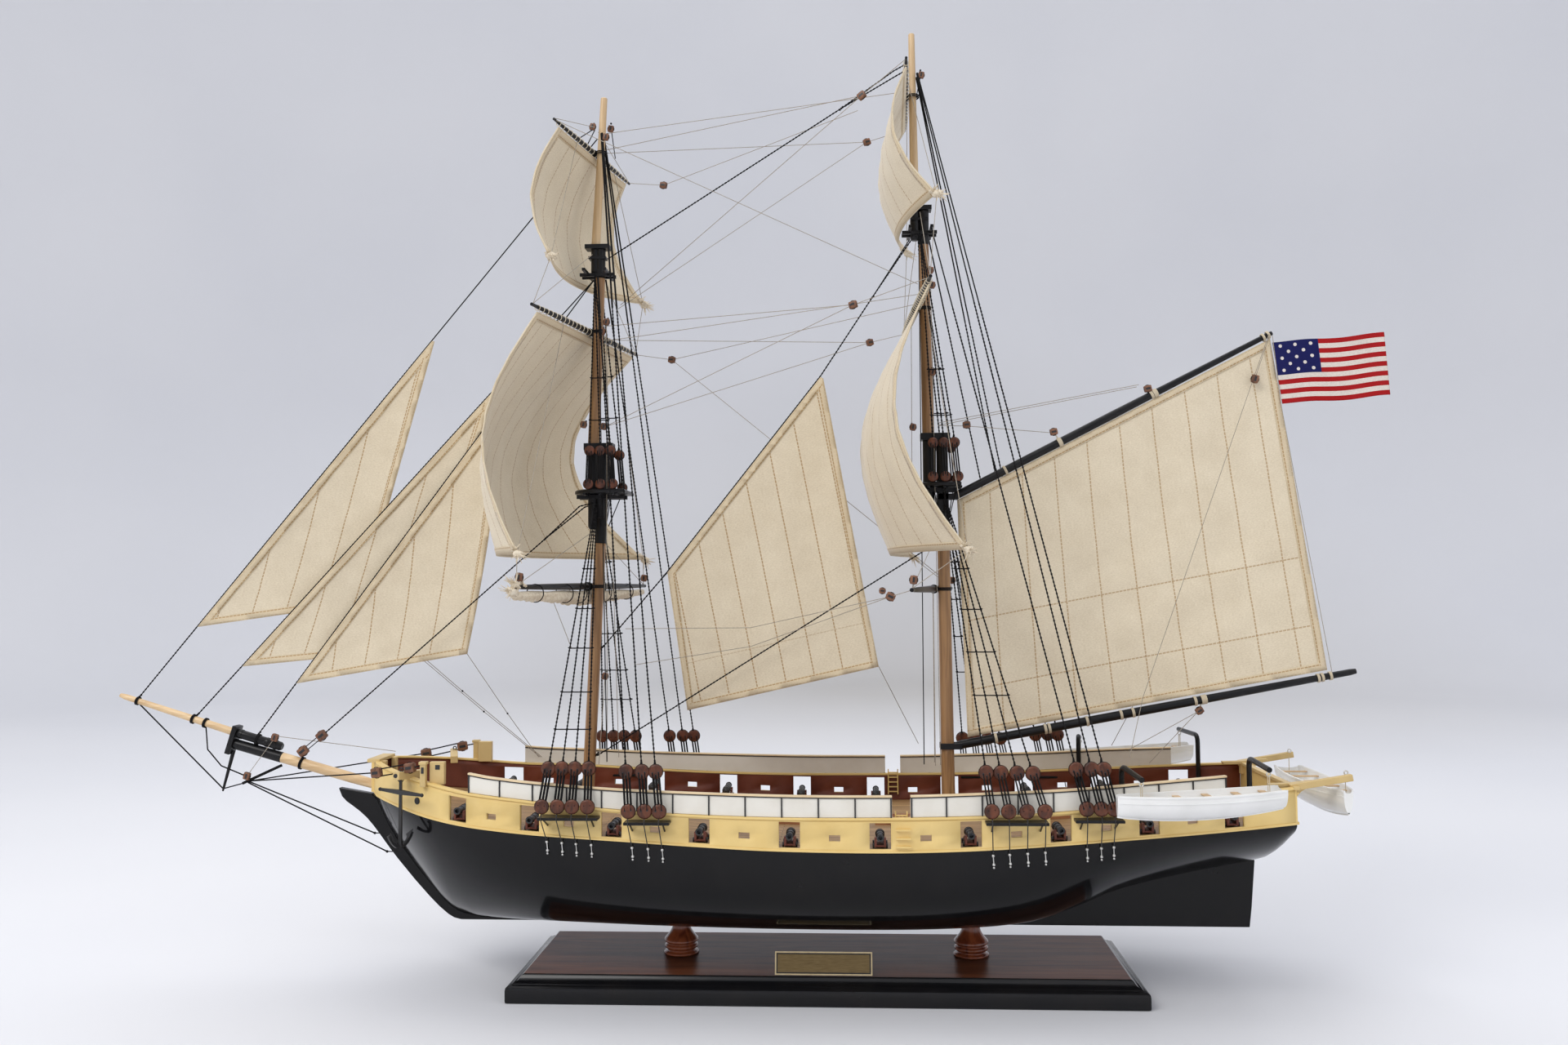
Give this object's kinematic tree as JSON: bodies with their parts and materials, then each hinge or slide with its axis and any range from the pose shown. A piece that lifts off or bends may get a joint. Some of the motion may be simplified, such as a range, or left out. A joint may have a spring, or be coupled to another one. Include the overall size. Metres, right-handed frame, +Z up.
{
  "type": "tall ship model",
  "caption": "Wooden display model of a square-rigged brig with gun ports, set sails and boats in davits, on a moulded stand with turned pedestals.",
  "frame": {"origin": "centre of the stand's underside", "axes": "+Z up, -X towards the bow, +X towards the stern, -Y port, +Y starboard"},
  "size_m": [0.8982, 0.2382, 0.663],
  "materials": {
    "black_gloss": "gloss",
    "black_paint": "satin",
    "brass": "satin",
    "cordage": "matte",
    "deck_planks": "satin",
    "flag_cloth": "matte",
    "mast_wood": "satin",
    "pine": "satin",
    "sail_cloth": "matte",
    "stained_base": "gloss",
    "turned_wood": "satin",
    "white_canvas": "matte",
    "white_gloss": "gloss",
    "yellow_paint": "satin"
  },
  "bodies": {
    "root": {"anchor_port": "black_paint", "anchor_starboard": "black_paint", "base_board": "stained_base", "bowsprit": "pine", "bulwark": "yellow_paint", "deck_port": "deck_planks", "deck_starboard": "deck_planks", "flag": "flag_cloth", "flying_jib": "sail_cloth", "fore_course_furled": "sail_cloth", "fore_crosstrees": "black_paint", "fore_lower_mast": "mast_wood", "fore_lower_yard": "black_paint", "fore_stay": "cordage", "fore_top": "black_paint", "fore_topgallant_mast": "pine", "fore_topgallant_sail": "sail_cloth", "fore_topgallant_stay": "cordage", "fore_topgallant_yard": "black_paint", "fore_topmast": "mast_wood", "fore_topmast_stays": "cordage", "fore_topmast_staysail": "sail_cloth", "fore_topsail": "sail_cloth", "fore_topsail_yard": "black_paint", "gaff": "black_paint", "hull": "black_gloss", "jib": "sail_cloth", "jibboom": "pine", "main_crosstrees": "black_paint", "main_lower_mast": "mast_wood", "main_lower_yard": "black_paint", "main_stay": "cordage", "main_top": "black_paint", "main_topgallant_mast": "pine", "main_topgallant_sail": "sail_cloth", "main_topgallant_stay": "cordage", "main_topgallant_yard": "black_paint", "main_topmast": "mast_wood", "main_topmast_stay": "cordage", "main_topmast_staysail": "sail_cloth", "main_topsail": "sail_cloth", "main_topsail_yard": "black_paint", "name_plate": "brass", "netting_port_aft": "white_canvas", "netting_port_fore": "white_canvas", "netting_starboard_aft": "white_canvas", "netting_starboard_fore": "white_canvas", "pedestal_aft": "turned_wood", "pedestal_fore": "turned_wood", "quarter_boat_port": "white_gloss", "quarter_boat_starboard": "white_gloss", "quarter_davit_port_aft": "black_paint", "quarter_davit_port_fore": "black_paint", "quarter_davit_starboard_aft": "black_paint", "quarter_davit_starboard_fore": "black_paint", "spanker": "sail_cloth", "spanker_boom": "black_paint", "stem_keel_and_fin": "black_gloss", "stern_boat": "white_gloss", "transom": "yellow_paint"}
  },
  "joints": []
}
